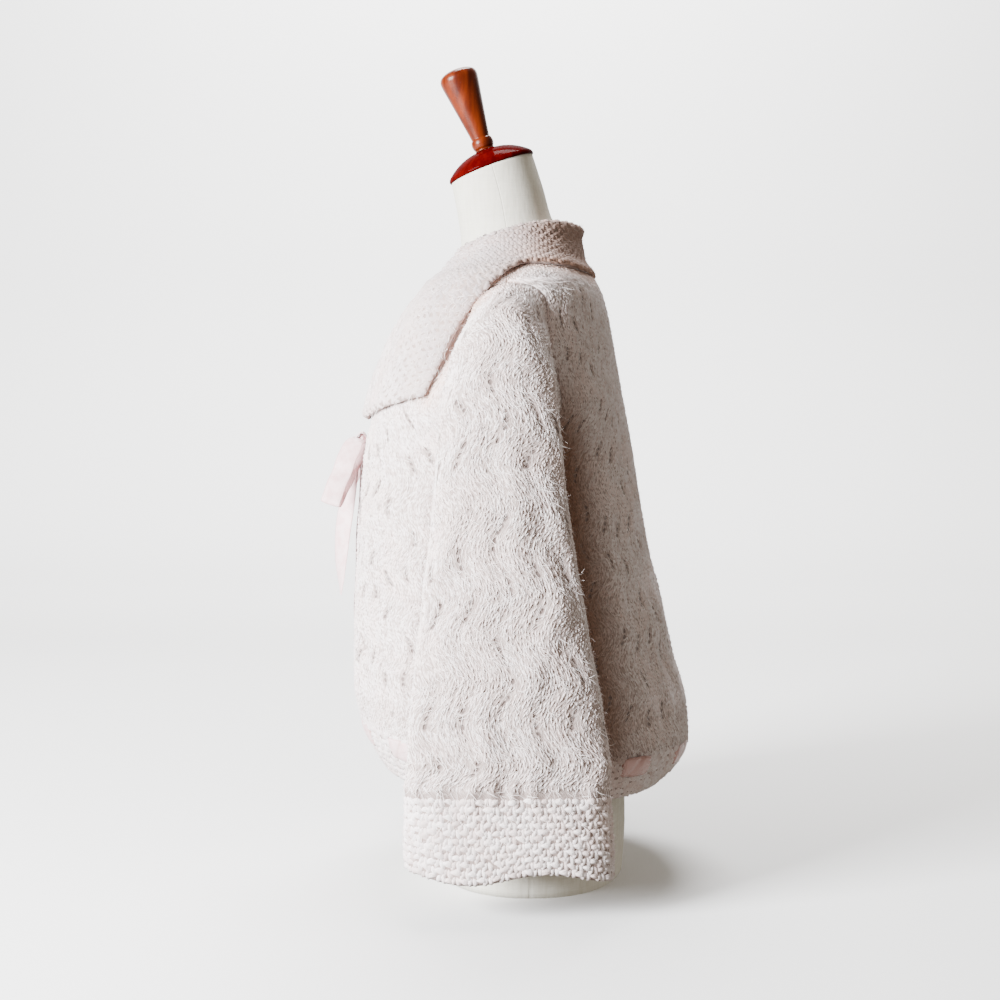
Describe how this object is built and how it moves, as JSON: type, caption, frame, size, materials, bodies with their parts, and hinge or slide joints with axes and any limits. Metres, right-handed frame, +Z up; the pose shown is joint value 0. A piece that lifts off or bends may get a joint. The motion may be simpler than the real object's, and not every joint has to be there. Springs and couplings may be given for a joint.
{
  "type": "cardigan on dress form",
  "caption": "Hand-knitted open cardigan with a wide folded collar, bell sleeves and ribbon bow, worn by a limbless dress form with a turned wooden neck handle.",
  "frame": {"origin": "on the ground under the middle of the whole part", "axes": "+Z up, +X to the wearer's left, -Y to the wearer's front"},
  "size_m": [0.5032, 0.3912, 0.8547],
  "materials": {
    "knit": "fluffy hand-knit mohair in a wave pattern",
    "ribbon": "satin ribbon",
    "canvas": "plain cream linen canvas",
    "wood_dark": "dark red lacquer",
    "wood": "red-brown lacquer"
  },
  "bodies": {
    "root": {"back": "knit", "front_left": "knit", "front_right": "knit", "sleeve_left": "knit", "sleeve_right": "knit", "collar": "knit", "bow_knot": "ribbon", "bow_loop_left": "ribbon", "bow_loop_right": "ribbon", "ribbon_tail_free": "ribbon", "ribbon_tail_lying": "ribbon", "hem_ribbon_left_1": "ribbon", "hem_ribbon_left_2": "ribbon", "hem_ribbon_left_3": "ribbon", "hem_ribbon_left_4": "ribbon", "hem_ribbon_left_5": "ribbon", "hem_ribbon_left_6": "ribbon", "hem_ribbon_right_1": "ribbon", "hem_ribbon_right_2": "ribbon", "hem_ribbon_right_3": "ribbon", "hem_ribbon_right_4": "ribbon", "hem_ribbon_right_5": "ribbon", "hem_ribbon_right_6": "ribbon", "form_torso": "canvas", "neck_cap": "wood_dark", "neck_handle": "wood"}
  },
  "joints": []
}
